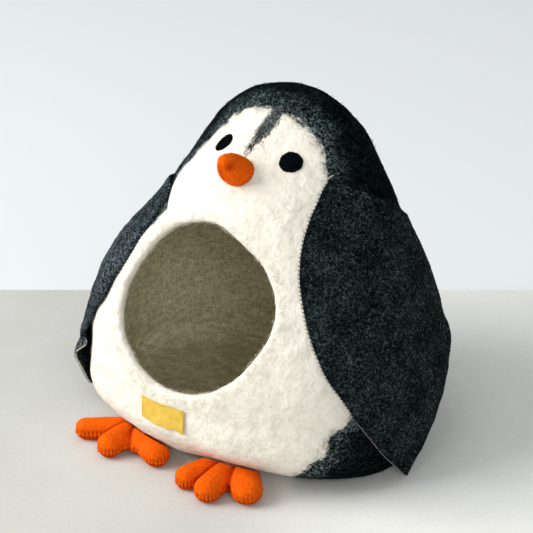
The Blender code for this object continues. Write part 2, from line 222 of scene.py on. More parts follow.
def reach(start, way, far=420.0, grow=0.0):
    """Where lines from inner points, along unit ways, leave the grown skin."""
    near = np.zeros(np.broadcast(start[..., 0], way[..., 0]).shape)
    away = np.full(near.shape, far)
    for _ in range(34):
        half = (near + away) / 2
        within = inside(start + half[..., None] * way, grow)
        near, away = np.where(within, half, near), np.where(within, away, half)
    return start + near[..., None] * way


def unit(v):
    return v / (np.linalg.norm(v, axis=-1, keepdims=True) + 1e-12)


def front_point(x, z):
    """Points of the front of the skin at x and height z."""
    return reach(np.stack(np.broadcast_arrays(x, HEART_Y, z), -1).astype(float), AHEAD)


def normal_at(p, size=2.0):
    """Outward normal of the skin near one point."""
    out = unit(p - HEART)
    a = unit(np.cross(out, (0.0, 0.0, 1.0)))
    b = np.cross(a, out)
    ring = [reach(HEART, unit(p + size * s - HEART)) for s in (a, b, -a, -b)]
    n = unit(np.cross(ring[0] - ring[2], ring[1] - ring[3]))
    return n if n @ out > 0 else -n


def entrance_polar(angle):
    """Angle off the front of the entrance outline, seen from ENTRANCE_HEART."""
    n = len(ENTRANCE_RADII)
    rows = [((k - n) * TURN / n, ENTRANCE_RADII[k % n]) for k in range(3 * n)]
    radius = smooth(rows, 1, angle)
    edge = front_point(ENTRANCE_X + radius * np.cos(angle),
                       ENTRANCE_Z + radius * np.sin(angle))
    return np.arctan2(radius, HEART_Y - edge[..., 1])


def waves(points, size, seed):
    """Smooth noise from -1 to 1 at each point, with swellings of about the given size."""
    flat = points.reshape(-1, 3) / size + seed
    return np.array([noise.noise(p) for p in flat.tolist()]).reshape(points.shape[:-1])


def swell(points):
    """How far the hand-felted body is uneven at each point."""
    settle = np.clip(points[..., 2] / 30, 0, 1)
    return settle * (1.8 * waves(points, 46, 3.1) + 1.0 * waves(points, 19, 8.7)
                     + 0.45 * waves(points, 10.5, 1.9))


def normals(points, outward):
    """Normals of a closed ring grid, on the side of the given outward vectors."""
    open_grid = points[:, :-1]
    along = np.gradient(open_grid, axis=0)
    around = np.roll(open_grid, -1, 1) - np.roll(open_grid, 1, 1)
    n = unit(np.cross(along, around))
    n[0] = unit(n[1].mean(0))
    n = np.concatenate([n, n[:, :1]], 1)
    side = np.sign((n * outward).sum(-1, keepdims=True).sum())
    return n * side


# ---- meshes ----
def laid(name, points, material, values=None, strand=0):
    """A grid laid on points[row, column].  values are numbers kept at its points, and
    strand is the number of columns of each separate strand."""
    rows, columns = points.shape[:2]
    values = values or {}
    bm = bmesh.new()
    bmesh.ops.create_grid(bm, x_segments=columns - 1, y_segments=rows - 1, size=0.5)
    if strand:
        gaps = [f for f in bm.faces
                if int((f.calc_center_median().x + 0.5) * (columns - 1)) % strand == strand - 1]
        bmesh.ops.delete(bm, geom=gaps, context="FACES")
    for key in values:
        bm.verts.layers.float.new(key)
    mesh = bpy.data.meshes.new(name)
    bm.to_mesh(mesh)
    bm.free()
    flat = np.empty(len(mesh.vertices) * 3, np.float32)
    mesh.vertices.foreach_get("co", flat)
    column = np.rint((flat[0::3] + 0.5) * (columns - 1)).astype(int)
    row = np.rint((flat[1::3] + 0.5) * (rows - 1)).astype(int)
    mesh.vertices.foreach_set("co", (points[row, column] * MM).astype(np.float32).ravel())
    for key, value in values.items():
        value = np.broadcast_to(value, (rows, columns))[row, column].astype(np.float32)
        mesh.attributes[key].data.foreach_set("value", value)
    bm = bmesh.new()
    bm.from_mesh(mesh)
    bmesh.ops.remove_doubles(bm, verts=bm.verts, dist=2e-6)
    bmesh.ops.recalc_face_normals(bm, faces=bm.faces)
    bm.to_mesh(mesh)
    bm.free()
    return shown(name, mesh, material)


def dressed(mesh, material):
    mesh.polygons.foreach_set("use_smooth", [True] * len(mesh.polygons))
    mesh.materials.clear()
    mesh.materials.append(material)
    return mesh


def shown(name, mesh, material):
    obj = bpy.data.objects.new(name, dressed(mesh, material))
    bpy.context.scene.collection.objects.link(obj)
    return obj


def slab(outer, thick, outward, steps=5, square=0.75, skip=1):
    """Rows of points round a sheet: its outer face from the middle to the edge, the
    rounded edge and the inner face back.  Also how far through the sheet each row is."""
    normal = normals(outer, outward)
    thick = np.broadcast_to(thick, outer.shape[:2])[..., None]
    out = outer[-1] - outer[-2]
    out = unit(out - (out * normal[-1]).sum(-1, keepdims=True) * normal[-1])
    middle = outer[-1] - normal[-1] * thick[-1] / 2
    edge = []
    for k in range(steps):
        turn = math.pi * (k + 1) / (steps + 1)
        c, s = math.cos(turn), math.sin(turn)
        edge.append(middle + thick[-1] / 2 * (out * s ** square + normal[-1]
                                              * math.copysign(abs(c) ** square, c)))
    inner = (outer - normal * thick)[::-1]
    inner = np.concatenate([inner[:-1:skip], inner[-1:]])
    through = np.concatenate([np.zeros(len(outer)), (np.arange(steps) + 1) / (steps + 1),
                              np.ones(len(inner))])
    return np.concatenate([outer, np.array(edge), inner]), through[:, None], normal


def tubes(name, paths, radius, up, material, sides=3, values=None):
    """Thin closed strands along paths[strand, point]."""
    count, steps = paths.shape[:2]
    along = unit(np.gradient(paths, axis=1))
    side = unit(np.cross(along, np.broadcast_to(up, paths.shape)))
    over = np.cross(side, along)
    taper = np.ones(steps)
    taper[[0, -1]] = 0.0
    turn = np.arange(sides + 1) * TURN / sides
    radius = np.broadcast_to(radius, count)[:, None, None, None] * taper[None, :, None, None]
    ring = (np.cos(turn)[:, None] * side[:, :, None] + np.sin(turn)[:, None] * over[:, :, None])
    points = paths[:, :, None] + radius * ring
    grid = points.transpose(1, 0, 2, 3).reshape(steps, count * (sides + 1), 3)
    spread = {k: np.repeat(v, sides + 1)[None] for k, v in (values or {}).items()}
    return laid(name, grid, material, spread, strand=sides + 1)


def scattered(faces, normal, count, keep=None):
    """Random places on a grid of points, spread evenly over its area: the places, the
    normals there and the row and column of each."""
    a, b = faces[1:, :-1] - faces[:-1, :-1], faces[:-1, 1:] - faces[:-1, :-1]
    weight = np.linalg.norm(np.cross(a, b), axis=-1)
    if keep is not None:
        weight = weight * keep[:-1, :-1]
    pick = random.choice(weight.size, count, p=weight.ravel() / weight.sum())
    row, column = np.divmod(pick, weight.shape[1])
    s, t = random.random((2, count, 1))
    return (faces[row, column] + s * a[row, column] + t * b[row, column],
            normal[row, column], row, column)


def fuzz(name, start, n, length, radius, material, values=None, stand=1.1):
    """Loose wool fibres lying about the given places, bent and a little raised."""
    count = len(start)
    way = unit(np.cross(n, unit(random.normal(size=(count, 3)))))
    side = np.cross(n, way)
    size = length * random.uniform(0.5, 1.3, (count, 1, 1))
    bend = random.uniform(-0.45, 0.45, (count, 1, 1))
    curl = random.uniform(-0.2, 0.2, (count, 1, 1))
    lift = random.uniform(0.15, 1.0, (count, 1, 1)) ** 2 * stand
    tip = np.where(random.random((count, 1, 1)) < 0.25, lift * 1.3, -0.25)
    u = np.linspace(0, 1, 5)[None, :, None]
    start, n, way, side = (v[:, None] for v in (start, n, way, side))
    paths = (start + way * (u - 0.5) * size
             + side * size * (bend * (u - 0.5) ** 2 * 2 + curl * np.sin(u * 6.3))
             + n * (-0.25 + lift * np.sin(u * math.pi) + (tip + 0.25) * u ** 2))
    paths[..., 2] = np.maximum(paths[..., 2], 0.2)
    thin = radius * random.uniform(0.6, 1.3, count)
    shade = random.random(count)
    return tubes(name, paths, thin, n, material, 3, {**(values or {}), "shade": shade})


def one_wool(count, dark):
    """Marks of fibres that are all of charcoal wool, or of cream where dark is negative."""
    return {"dark": np.full(count, dark), "stripe": np.full(count, dark)}


# ---- materials ----
def by(operation):
    """A method that works out a number from this one and another."""
    return lambda value, other: value.of(operation, value, other)


class Value:
    """A number from a shader node, for maths written as plain expressions."""

    __add__ = __radd__ = by("ADD")
    __mul__ = __rmul__ = by("MULTIPLY")
    __sub__, __truediv__, __pow__ = by("SUBTRACT"), by("DIVIDE"), by("POWER")

    def __init__(self, tree, socket):
        self.tree, self.socket = tree, socket

    def of(self, operation, *values, kind="Math", out=0):
        node = self.tree.nodes.new("ShaderNode" + kind)
        node.operation = operation
        for socket, value in zip(node.inputs, values):
            plug(socket, value)
        return Value(self.tree, node.outputs[out])

    def math(self, operation, *others):
        return self.of(operation, self, *others)

    def __rsub__(self, other):
        return self.of("SUBTRACT", other, self)

    def clip(self):
        return self.math("MAXIMUM", 0.0).math("MINIMUM", 1.0)

    def size(self):
        return self.math("ABSOLUTE")

    def ease(self, low, high):
        """From 0 at low to 1 at high, without corners."""
        t = ((self - low) / (high - low)).clip()
        return t * t * (3 - 2 * t)


def plug(socket, value):
    if isinstance(value, Value):
        value.tree.links.new(value.socket, socket)
    else:
        socket.default_value = value


class Finish:
    """A material whose colour and relief are worked out by nodes."""

    def __init__(self, name, roughness=0.95, shine=0.01):
        self.material = bpy.data.materials.new(name)
        self.material.use_nodes = True
        self.tree = self.material.node_tree
        self.shader = self.tree.nodes["Principled BSDF"]
        self.shader.inputs["Roughness"].default_value = roughness
        self.shader.inputs["Specular IOR Level"].default_value = shine
        self.place = self.node("TexCoord", out="Object")

    def node(self, kind, out=0, settings=None, **sockets):
        node = self.tree.nodes.new("ShaderNode" + kind)
        for key, value in (settings or {}).items():
            setattr(node, key, value)
        for key, value in sockets.items():
            plug(node.inputs[key.replace("_", " ")], value)
        return Value(self.tree, node.outputs[out])

    def kept(self, name):
        """A number kept at the points of the mesh."""
        return self.node("Attribute", "Fac", {"attribute_name": name})

    def stretched(self, *scales):
        """The place of each point, scaled along X, Y and Z."""
        return self.place.of("MULTIPLY", self.place, scales, kind="VectorMath")

    def towards(self, way):
        """How far each point is along a horizontal direction, in metres."""
        return self.place.of("DOT_PRODUCT", self.place, way, kind="VectorMath", out="Value")

    def cloud(self, size, detail=2.0, rough=0.5, place=None, shift=0.0, warp=0.0):
        """Noise from 0 to 1 with features of a size in millimetres."""
        return self.node("TexNoise", "Fac", {"noise_dimensions": "4D"},
                         Vector=place or self.place, W=shift, Scale=1000.0 / size,
                         Detail=detail, Roughness=rough, Distortion=warp)

    def hairs(self, size, width, shift):
        """Thin curly lines, where a noise crosses its middle value."""
        line = self.cloud(size, 1.0, 0.45, shift=shift, warp=1.2)
        return (1 - (line - 0.5).size() / width).clip()

    def mixed(self, share, first, second):
        node = self.tree.nodes.new("ShaderNodeMix")
        node.data_type = "RGBA"
        for socket, value in zip((node.inputs["Factor"], node.inputs[6], node.inputs[7]),
                                 (share, first, second)):
            plug(socket, (*value, 1.0) if isinstance(value, tuple) else value)
        return Value(self.tree, node.outputs[2])

    def done(self, colour, height=None, depth=1.0):
        """depth is the relief in millimetres for a height from 0 to 1."""
        plug(self.shader.inputs["Base Color"], colour)
        if height is not None:
            bump = self.node("Bump", "Normal", Height=height, Distance=depth * MM, Strength=1.0)
            plug(self.shader.inputs["Normal"], bump)
        return self.material


CREAM, CREAM_SHADE = (0.86, 0.82, 0.73), (0.58, 0.53, 0.43)
BLACK_WOOL, GREY_WOOL = (0.0004, 0.0019, 0.0022), (0.25, 0.33, 0.34)
# the right wing's bluer grey is painted light: the same felt as the left wing, lit by the key light
WING_GREY_TONE_AND_PAINTED_LIGHT = {"wing_left": GREY_WOOL, "wing_right": (0.26, 0.32, 0.365)}
TAUPE, TAUPE_DARK = (0.93, 0.87, 0.66), (0.55, 0.49, 0.32)
ORANGE, ORANGE_DEEP = (0.90, 0.135, 0.004), (0.60, 0.052, 0.004)
ORANGE_LIGHT = (0.95, 0.24, 0.02)
# painted shade: colours for the felt's folds and creases, and for the dimples under its stitches
ORANGE_PAINTED_SHADE, ORANGE_STITCH_DIMPLE_SHADE = (0.48, 0.022, 0.003), (0.32, 0.014, 0.002)


def charcoal(m, light, scale=1.0, grey=GREY_WOOL):
    """Colour of charcoal wool with lighter curly fibres, and its relief.  For the right wing, light
    also holds painted light.
    """
    coarse = m.hairs(3.2 * scale, 0.08, 1.0) * m.cloud(5 * scale, shift=2.0).ease(0.50, 0.62)
    fine = m.hairs(1.7 * scale, 0.15, 5.0) * m.cloud(2.6 * scale, shift=7.0).ease(0.47, 0.58)
    bits = m.cloud(1.5 * scale, 2.0, 0.7, shift=9.0).ease(0.50, 0.72)
    patch = m.cloud(30, 3.0, 0.55, shift=4.0).ease(0.3, 0.75)
    share = (coarse * 0.65 + fine * 0.6 + bits * 0.75) * (0.36 + patch * 0.5) * light
    return m.mixed(share.clip() ** 1.5, BLACK_WOOL, grey), coarse * 0.4 + fine * 0.5 + bits * 0.6


def cream(m):
    """Colour of cream wool, and its relief."""
    mottle = m.cloud(12, 4.0, 0.7, shift=1.5).ease(0.40, 0.70)
    speck = m.cloud(1.9, 3.0, 0.7, shift=3.5).ease(0.50, 0.76)
    shade = mottle * 0.40 + speck * 0.50
    nub = m.cloud(9.0, 2.0, 0.5, shift=0.9).ease(0.25, 0.75)
    relief = nub * 0.9 + m.cloud(2.2, 3.0, 0.7, shift=2.5) * 0.6
    return m.mixed(shade.clip(), CREAM, CREAM_SHADE), relief


def body_finish(name):
    """Cream wool outside, charcoal where dark or stripe is positive, taupe inside."""
    m = Finish(name)
    dark, stripe, within, along = (m.kept(k) for k in ("dark", "stripe", "within", "along"))
    beside = m.node("CombineXYZ", X=along * (1 / 12), Y=dark * (1 / 2.4))
    wander = (m.cloud(12, 3.0, 0.6, shift=0.3) - 0.5) * 17 + (m.cloud(3.6, 3.0, 0.7) - 0.5) * 9
    ragged = wander + (m.cloud(1000.0, 3.0, 0.65, beside, 0.4) - 0.5) * 14
    mask = (dark + ragged).ease(-3.0, 3.0)
    veil = (dark + wander * 1.4).ease(-10.0, 2.0) * m.hairs(3.0, 0.12, 8.5) * 0.62
    streak = m.stretched(2.4, 0.5, 0.5)
    fade = m.kept("fade")
    combed = (m.cloud(3.2, 3.0, 0.8, streak, 0.7) - 0.5) * 24 + (m.cloud(1.8, 2.0) - 0.5) * 9
    band = (stripe - fade * 4.5 + combed * (0.8 + fade * 1.3)).ease(-2.0, 3.0) * 0.95
    mask = mask.math("MAXIMUM", veil).math("MAXIMUM", band)
    wool, relief = cream(m)
    mixed_in = 0.36 + 1.7 * (1 - (dark + wander).size().ease(3.0, 34.0))
    black, black_relief = charcoal(m, mixed_in)
    colour = m.mixed(mask, wool, black)
    height = relief + (black_relief - relief) * mask
    lining = m.cloud(6, 4.0, 0.75, m.stretched(0.35, 0.6, 1.7), 2.2).ease(0.36, 0.66)
    weave = m.cloud(3.0, 3.0, 0.75, m.stretched(1.8, 1.0, 0.4), 5.2).ease(0.38, 0.70)
    pit = m.cloud(5.5, 1.0, 0.5, shift=6.1).ease(0.74, 0.80)
    taupe = m.mixed((lining * 0.7 + weave * 0.65 + pit * 0.8).clip(), TAUPE, TAUPE_DARK)
    deep = (within + (m.cloud(3.5, 3.0, 0.65, shift=6.6) - 0.5) * 9).ease(6.5, 17.0)
    return m.done(m.mixed(deep, colour, taupe), height, 1.0)


def fibre_finish(name):
    """Loose fibres take the colour of the wool that they come from."""
    m = Finish(name)
    mask = m.kept("dark").math("MAXIMUM", m.kept("stripe")).ease(-0.5, 0.5)
    shade = m.kept("shade")
    light = m.mixed(shade, CREAM, (0.74, 0.69, 0.58))
    near = 1.2 - m.kept("dark").ease(8.0, 32.0)
    grey = m.mixed((shade ** 2.5 * near).clip(), (0.003, 0.006, 0.007), (0.26, 0.32, 0.34))
    return m.done(m.mixed(mask, light, grey))


def charcoal_finish(name, light, grey):
    """Cut charcoal felt, with its pale core in the edges that hang free."""
    m = Finish(name)
    colour, relief = charcoal(m, light, 0.8, grey)
    core = (1 - (m.kept("through") - 0.5).size() / 0.3).clip() * m.kept("free")
    core = (core * m.cloud(6, 3.0, shift=3.3).ease(0.3, 0.5) * 1.6).clip()
    return m.done(m.mixed(core, colour, (0.58, 0.55, 0.51)), relief, 0.9)


def orange_finish(name):
    """Orange felt, with painted shade in its folds and creases and in the dimples under its
    stitches.
    """
    m = Finish(name)
    mottle = m.cloud(8, 4.0, 0.65, shift=1.1).ease(0.36, 0.68)
    fine = m.cloud(2.2, 3.0, 0.8, shift=2.1).ease(0.42, 0.66)
    hair = m.hairs(3.0, 0.09, 3.1) * m.cloud(5, shift=5.1).ease(0.45, 0.6)
    colour = m.mixed((mottle * 0.32 + fine * 0.5).clip(), ORANGE, ORANGE_DEEP)
    colour = m.mixed(hair * 0.55, colour, ORANGE_LIGHT)
    # painted shade in the folds, creases and low edges
    colour = m.mixed((m.kept("painted_fold_shade") * 0.8).clip(), colour, ORANGE_PAINTED_SHADE)
    # painted shade in the dimples that the stitches pull into the felt
    colour = m.mixed(m.kept("stitch").clip(), colour, ORANGE_STITCH_DIMPLE_SHADE)
    relief = m.cloud(2.2, 4.0, 0.75, shift=4.0) + m.cloud(5.0, 2.0, shift=6.0) * 0.8 + hair * 0.3
    return m.done(colour, relief, 1.0)


def plain_wool(name, dark, light, size=1.6, depth=0.7):
    m = Finish(name)
    share = m.cloud(size, 4.0, 0.7, shift=1.7).ease(0.35, 0.75)
    return m.done(m.mixed(share, dark, light), m.cloud(size, 4.0, 0.7), depth)


def ribbon_finish(name):
    m = Finish(name, 0.8)
    wave = {"wave_type": "BANDS", "bands_direction": "X"}
    warp = m.node("TexWave", "Fac", wave, Vector=m.place, Scale=480.0)
    weft = m.node("TexWave", "Fac", {**wave, "bands_direction": "Z"}, Vector=m.place, Scale=560.0)
    weave = warp * 0.5 + weft * 0.5
    worn = m.cloud(9, 3.0, shift=2.0).ease(0.35, 0.7)
    tone = (weave * 0.35 + worn * 0.5 + m.kept("edge") * 0.3).clip()
    return m.done(m.mixed(tone, (0.80, 0.55, 0.11), (0.64, 0.40, 0.05)), weave, 0.12)


# ---- the pieces ----
def wool_marks(points):
    """How far inside the charcoal wool, and inside the stripe, each point is."""
    v = points - ENTRANCE_HEART
    angle = np.degrees(np.arctan2(v[..., 2], v[..., 0]))
    polar = np.degrees(np.arctan2(np.hypot(v[..., 0], v[..., 2]), -v[..., 1]))
    last, first = CREAM_EDGE[-1], CREAM_EDGE[0]
    rows = ((last[0] - 360, last[1]), *CREAM_EDGE, (first[0] + 360, first[1]))
    edge = np.interp(angle, [r[0] for r in rows], [r[1] for r in rows])
    dark = np.radians(polar - edge) * np.linalg.norm(v, axis=-1)
    z = points[..., 2]
    middle = np.interp(z, [r[0] for r in STRIPE], [r[1] for r in STRIPE])
    half = np.interp(z, [r[0] for r in STRIPE], [r[2] for r in STRIPE])
    stripe = half - np.abs(points[..., 0] - middle)
    stripe = np.where((z < STRIPE[0][0]) | (points[..., 1] > 60), -30.0, stripe)
    fade = np.clip((352 - z) / 16, 0, 1)
    return {"dark": np.clip(dark, -40, 40), "stripe": np.clip(stripe, -40, 40),
            "along": angle * 2.6, "fade": fade}


def build_shell(finish, fibres):
    angle = np.linspace(0, TURN, SHELL_COLUMNS + 1)
    rim = entrance_polar(angle)
    t = np.linspace(1, 0, SHELL_RINGS)[:, None]
    inset = (SHELL_THICK + RIM_SWELL) / 2 / HEART_REACH
    polar = (rim + inset) + t * (math.pi - rim - inset)
    way = np.stack(np.broadcast_arrays(np.sin(polar) * np.cos(angle), -np.cos(polar),
                                       np.sin(polar) * np.sin(angle)), -1)
    skin = reach(ENTRANCE_HEART, way)
    normal = normals(skin, way)
    skin = skin + normal * swell(skin)[..., None]
    skin[..., 2] = np.maximum(skin[..., 2], 0.0)
    skin[:, -1] = skin[:, 0]
    from_rim = (polar - rim - inset) * HEART_REACH
    thick = SHELL_THICK + RIM_SWELL * np.exp(-(from_rim / 13) ** 2)
    rows, _, normal = slab(skin, thick, way, RIM_STEPS, 0.9, SHELL_INNER)
    step = np.linalg.norm(np.diff(rows, axis=0), axis=-1)
    past = np.concatenate([np.zeros((1, rows.shape[1])), np.cumsum(step, 0)])
    within = np.clip(past - past[len(skin) - 1], 0, 60)
    shell = laid("cave", rows, finish, {**wool_marks(rows), "within": within})
    marks = wool_marks(skin)
    keep = (skin[..., 2] > 2) * np.where(marks["dark"] > -6, 1.0, 0.22)
    start, n, row, column = scattered(skin, normal, CAVE_FIBRES, keep)
    jitter = random.normal(0, 3.0, len(start))
    dark = marks["dark"][row, column] + jitter
    hair = fuzz("cave_fibres", start, n, 8.0, np.where(dark > 0, 0.13, 0.07), fibres,
                {"dark": dark, "stripe": marks["stripe"][row, column] + jitter * 0.6}, 1.7)
    # fibres that stick out round the rim
    edge = rows[len(skin) - 4:len(skin) + RIM_STEPS + 2]
    edge_normal = normals(edge, edge - edge.mean(0))
    start, n, _, _ = scattered(edge, edge_normal, RIM_FIBRES)
    ruff = fuzz("rim_fibres", start, n, 7.0, 0.12, fibres, one_wool(len(start), -9.0), 3.2)
    return shell, hair, ruff


def wing_face(name, angle, z):
    """Points of the outer face of a wing at plan angles and heights."""
    rows, mirror = WINGS[name], name == "wing_right"
    front, rear = smooth(rows, 1, z), smooth(rows, 2, z)
    s = np.clip((angle - front) / (rear - front + 1e-6), 0, 1)
    off = (WING_GAPS[name] + WING_THICK + smooth(rows, 3, z) * (1 - s) * (1 - 2 * s)
           + smooth(rows, 4, z) * 4 * s * (1 - s) + smooth(rows, 5, z) * s * (2 * s - 1))
    turn = np.radians(angle)
    hang = np.maximum(z, WING_HANG)
    half, middle, deep = section(hang)
    across, depth = squareness(hang, turn < 0)
    x = (half + off) * np.abs(np.cos(turn)) ** (2 / across)
    y = middle + (deep + off) * np.sign(turn) * np.abs(np.sin(turn)) ** (2 / depth)
    return np.stack([-x if mirror else x, y, z], -1)


def wing_outline(name):
    """The edge of a wing in plan angle and height, at even steps down its front and up its
    rear, the length so far at each step, and the length of the front."""
    rows, steps = WINGS[name], 90
    z = np.linspace(rows[0][0], rows[-1][0], steps)
    line = np.concatenate([np.stack([smooth(rows, 1, z), z], -1),
                           np.stack([smooth(rows, 2, z), z], -1)[::-1]])
    line = np.concatenate([line, line[:1]])
    place = wing_face(name, line[:, 0], line[:, 1])
    length = np.concatenate([[0], np.cumsum(np.linalg.norm(np.diff(place, axis=0), axis=1))])
    even = np.linspace(0, length[-1], WING_COLUMNS + 1)
    outline = np.stack([np.interp(even, length, line[:, k]) for k in (0, 1)], -1)
    return outline, even, length[steps - 1]


def off_wing(name, spots, lift):
    """Points of a wing's outer face at plan angles and heights, lifted off it."""
    face = wing_face(name, spots[..., 0], spots[..., 1])
    return face + unit(face - HEART) * (swell(face) + lift)[..., None]


def overcast(name, outline, length, front_end, size, thread):
    """Stitches over the front edge of a wing, down to where it hangs free."""
    middle = np.array(WING_MIDDLES[name])
    at = np.arange(STITCH * 0.5, front_end, STITCH)
    spot = np.stack([np.interp(at, length, outline[:, k]) for k in (0, 1)], -1)
    sewn = spot[:, 1] > WING_HANG
    at, spot = at[sewn], spot[sewn]
    reach_in = np.interp(at, length, size)[:, None]
    along = unit(np.gradient(spot, axis=0)) * np.array([0.35, 1.0])
    paths = [off_wing(name, middle + (spot - middle) * (1 - back / reach_in)
                      + 0.35 * back * along, lift) for back, lift in STITCH_PATH]
    paths = np.array(paths).transpose(1, 0, 2)
    return tubes(name + "_stitches", paths, 0.42, unit(paths - HEART), thread, 6)


def thread_ends(name, thread):
    """Cream ends of the sewing thread at the top of a wing."""
    u = np.linspace(0, 1, 6)[:, None]
    rise = 1.0 + 1.1 * np.sin(u[:, 0] * math.pi)
    paths = np.array([off_wing(name, np.array(start) * (1 - u) + np.array(end) * u, rise)
                      for start, end in APEX_STITCHES])
    return tubes(name + "_thread_ends", paths, 0.45, unit(paths - HEART), thread, 6)


def build_wing(name, finish, fibres, thread, pale):
    outline, length, front_end = wing_outline(name)
    middle = np.array(WING_MIDDLES[name])
    edge_place = wing_face(name, outline[:, 0], outline[:, 1])
    size = np.linalg.norm(edge_place - wing_face(name, middle[0], middle[1]), axis=-1)
    sewn = ((length < front_end) * np.clip((outline[:, 1] - WING_HANG + 4) / 8, 0, 1)
            * np.clip(length / 4, 0, 1))
    pucker = 0.28 * sewn * (1 + np.cos(TURN * length / STITCH + np.sin(length / 17)))
    ring = np.linspace(0, 1, WING_RINGS) ** 0.8
    share = ring[:, None] * (1 - (WING_THICK / 2 + pucker) / size)
    domain = middle + (outline - middle) * share[..., None]
    face = wing_face(name, domain[..., 0], domain[..., 1])
    outward = face - HEART
    normal = normals(face, outward)
    from_edge = (1 - share) * size
    press = 0.9 * sewn * np.exp(-(from_edge / 3.5) ** 2)
    lump = 0.5 * waves(face, 24, 5.5) + swell(face)
    face = face + normal * (lump - press)[..., None]
    face[:, -1] = face[:, 0]
    rows, through, normal = slab(face, WING_THICK, outward)
    free = (1 - sewn) * np.clip((CORE_BELOW - outline[:, 1]) / 25, 0, 1)
    wing = laid(name + "_felt", rows, finish, {"through": through, "free": free[None]})
    start, n, _, _ = scattered(face, normal, WING_FIBRES)
    black = one_wool(len(start), 9.0)
    hair = fuzz(name + "_fibres", start, n, 4.0, 0.12, fibres, black, 0.8)
    stitches = overcast(name, outline, length, front_end, size, thread)
    if name == "wing_left":
        return wing, hair, stitches, thread_ends(name, pale)
    return wing, hair, stitches


def build_eye(name, finish):
    x, z = EYE_PLACES[name]
    centre = front_point(x, z)
    out = normal_at(centre)
    a = unit(np.cross((0.0, 0.0, 1.0), out))
    b = np.cross(out, a)
    turn = np.linspace(0, TURN, 97)
    wobble = (1 + 0.02 * np.sin(3 * turn + x) + 0.015 * np.sin(8 * turn)
              + 0.014 * np.sin(19 * turn))
    ring = np.linspace(0, 1, 15)[:, None]
    share = ring * wobble
    wide, high = (size - EYE_THICK / 2 for size in EYE_SIZES[name])
    flat = centre + share[..., None] * (wide * np.cos(turn)[:, None] * a
                                        + high * np.sin(turn)[:, None] * b)
    lifted = reach(flat - 30 * out, out, far=60.0)
    dome = EYE_THICK * (0.75 + 0.35 * (1 - ring ** 3))
    face = lifted + out * (0.1 + swell(lifted) + dome + 0.12 * waves(lifted, 3, 2.0))[..., None]
    face[:, -1] = face[:, 0]
    rows, _, normal = slab(face, EYE_THICK, out, 5, 0.9)
    eye = laid(name + "_felt", rows, finish)
    start, n, _, _ = scattered(face, normal, EYE_FIBRES)
    return eye, fuzz(name + "_fibres", start, n, 3.4, 0.09, finish)


def build_label(finish, thread):
    side = np.linspace(0, 4, 121)[:, None]  # once round a square
    square = np.clip(1.5 - np.abs(side - (1.5, 2.5)), 0, 1)
    share = np.linspace(0, 1, 26)[:, None, None]
    st = 0.5 + (square - 0.5) * share * 0.985
    s, t = st[..., 0], st[..., 1]
    z = LABEL_Z[0] + t * (LABEL_Z[1] - LABEL_Z[0])
    z = z + (1 - t) * 0.9 * np.sin(s * 17) + 0.4 * np.sin(s * 9 + 1)
    x = LABEL_X[0] + s * (LABEL_X[1] - LABEL_X[0])
    skin = front_point(x, z)
    lift = (LABEL_THICK + LABEL_LIFT + swell(skin) + 1.6 * s * (1 - t)
            + 0.35 * np.sin(s * 23 + t * 6) * (1 - t) + 0.25 * waves(skin, 7, 1.0))
    pin = sum(np.exp(-((s - a) ** 2 * 900 + (t - b) ** 2 * 260)) for a, b in TACKS[:-1])
    lift = lift - 0.75 * pin
    face = skin + lift[..., None] * AHEAD
    face[:, -1] = face[:, 0]
    rows, _, _ = slab(face, LABEL_THICK, AHEAD, 3, 0.6)
    edge = np.concatenate([share[:, :, 0], np.ones((3, 1)), share[::-1, :, 0]])
    edge = np.clip(edge * 8 - 7, 0, 1)
    label = laid("label_ribbon", rows, finish, {"edge": np.broadcast_to(edge, rows.shape[:2])})
    paths = []
    for a, b in TACKS:
        x = LABEL_X[0] + a * (LABEL_X[1] - LABEL_X[0])
        z = LABEL_Z[0] + b * (LABEL_Z[1] - LABEL_Z[0])
        u = np.linspace(-1, 1, 6)
        p = front_point(x + 1.6 * u, z + 1.1 * u)
        out = LABEL_THICK + LABEL_LIFT + 1.6 * a * (1 - b) + 0.7 * (1 - u ** 2) - 0.9
        paths.append(p + (out + swell(p))[:, None] * AHEAD)
    return label, tubes("label_stitches", np.array(paths), 0.3, AHEAD, thread, 6)


def bump(turn, at, wide):
    """A swelling round an angle in degrees, on a turn in radians."""
    return np.exp(-(np.angle(np.exp(1j * (turn - math.radians(at)))) / wide) ** 2)


